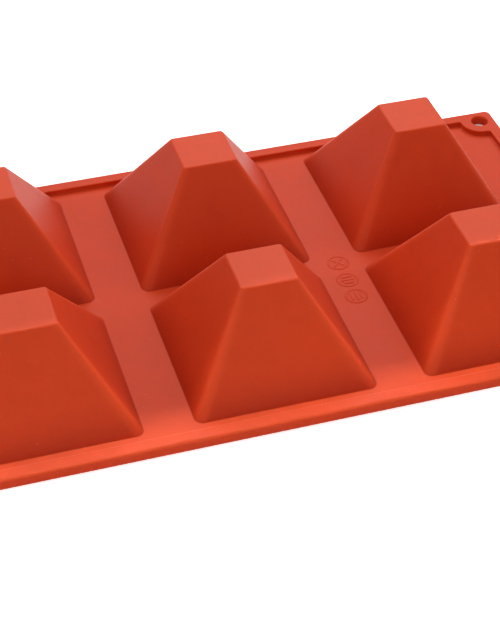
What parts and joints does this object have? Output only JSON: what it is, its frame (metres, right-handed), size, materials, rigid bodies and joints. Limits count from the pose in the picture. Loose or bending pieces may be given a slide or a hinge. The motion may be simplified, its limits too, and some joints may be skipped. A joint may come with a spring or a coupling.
{
  "type": "resin casting mould",
  "caption": "Flexible one-piece silicone mould with square pyramid cups in two rows, a raised rim and a corner hole to hang it by.",
  "frame": {"origin": "middle of the flat open face that the cups are filled through, which the mould lies on as pictured", "axes": "+X along the long side, towards the end with the hanging hole; +Y across, towards the corner with the hole; +Z from the open face towards the cup ends"},
  "size_m": [0.3, 0.174, 0.0422],
  "materials": {
    "sheet_silicone": "satin moulded silicone, slightly soft to light",
    "cup_silicone": "satin moulded silicone, slightly soft to light, brighter on the thin edges"
  },
  "bodies": {
    "middle_section": {"middle_web": "sheet_silicone", "middle_front_rim": "sheet_silicone", "middle_back_rim": "sheet_silicone", "left_flex_web": "sheet_silicone", "left_front_flex_rim": "sheet_silicone", "left_back_flex_rim": "sheet_silicone", "right_flex_web": "sheet_silicone", "right_front_flex_rim": "sheet_silicone", "right_back_flex_rim": "sheet_silicone", "front_middle_cup_wall": "cup_silicone", "back_middle_cup_wall": "cup_silicone"},
    "left_section": {"left_web": "sheet_silicone", "left_rim": "sheet_silicone", "front_left_cup_wall": "cup_silicone", "back_left_cup_wall": "cup_silicone"},
    "right_section": {"right_web": "sheet_silicone", "right_rim": "sheet_silicone", "right_back_rim": "sheet_silicone", "hanging_eyelet": "sheet_silicone", "front_right_cup_wall": "cup_silicone", "back_right_cup_wall": "cup_silicone"},
    "front_left_cup_end": {"front_left_cup_end": "cup_silicone"},
    "back_left_cup_end": {"back_left_cup_end": "cup_silicone"},
    "front_middle_cup_end": {"front_middle_cup_end": "cup_silicone"},
    "back_middle_cup_end": {"back_middle_cup_end": "cup_silicone"},
    "front_right_cup_end": {"front_right_cup_end": "cup_silicone"},
    "back_right_cup_end": {"back_right_cup_end": "cup_silicone"}
  },
  "joints": [
    {"name": "left_bend", "type": "hinge", "parent": "middle_section", "child": "left_section", "pos_m": [-0.0458, 0, 0.0012], "axis": [0, -1, 0], "range_deg": [-45, 45], "stiffness_Nm_per_rad": 0.05, "deforming": ["left_flex_web", "left_front_flex_rim", "left_back_flex_rim"]},
    {"name": "right_bend", "type": "hinge", "parent": "middle_section", "child": "right_section", "pos_m": [0.0458, 0, 0.0012], "axis": [0, 1, 0], "range_deg": [-45, 45], "stiffness_Nm_per_rad": 0.05, "deforming": ["right_flex_web", "right_front_flex_rim", "right_back_flex_rim"]},
    {"name": "front_left_cup_press", "type": "slide", "parent": "left_section", "child": "front_left_cup_end", "axis": [0, 0, -1], "range_m": [0, 0.014], "stiffness_N_per_m": 600, "deforming": ["front_left_cup_wall"]},
    {"name": "back_left_cup_press", "type": "slide", "parent": "left_section", "child": "back_left_cup_end", "axis": [0, 0, -1], "range_m": [0, 0.014], "stiffness_N_per_m": 600, "deforming": ["back_left_cup_wall"]},
    {"name": "front_middle_cup_press", "type": "slide", "parent": "middle_section", "child": "front_middle_cup_end", "axis": [0, 0, -1], "range_m": [0, 0.014], "stiffness_N_per_m": 600, "deforming": ["front_middle_cup_wall"]},
    {"name": "back_middle_cup_press", "type": "slide", "parent": "middle_section", "child": "back_middle_cup_end", "axis": [0, 0, -1], "range_m": [0, 0.014], "stiffness_N_per_m": 600, "deforming": ["back_middle_cup_wall"]},
    {"name": "front_right_cup_press", "type": "slide", "parent": "right_section", "child": "front_right_cup_end", "axis": [0, 0, -1], "range_m": [0, 0.014], "stiffness_N_per_m": 600, "deforming": ["front_right_cup_wall"]},
    {"name": "back_right_cup_press", "type": "slide", "parent": "right_section", "child": "back_right_cup_end", "axis": [0, 0, -1], "range_m": [0, 0.014], "stiffness_N_per_m": 600, "deforming": ["back_right_cup_wall"]}
  ]
}
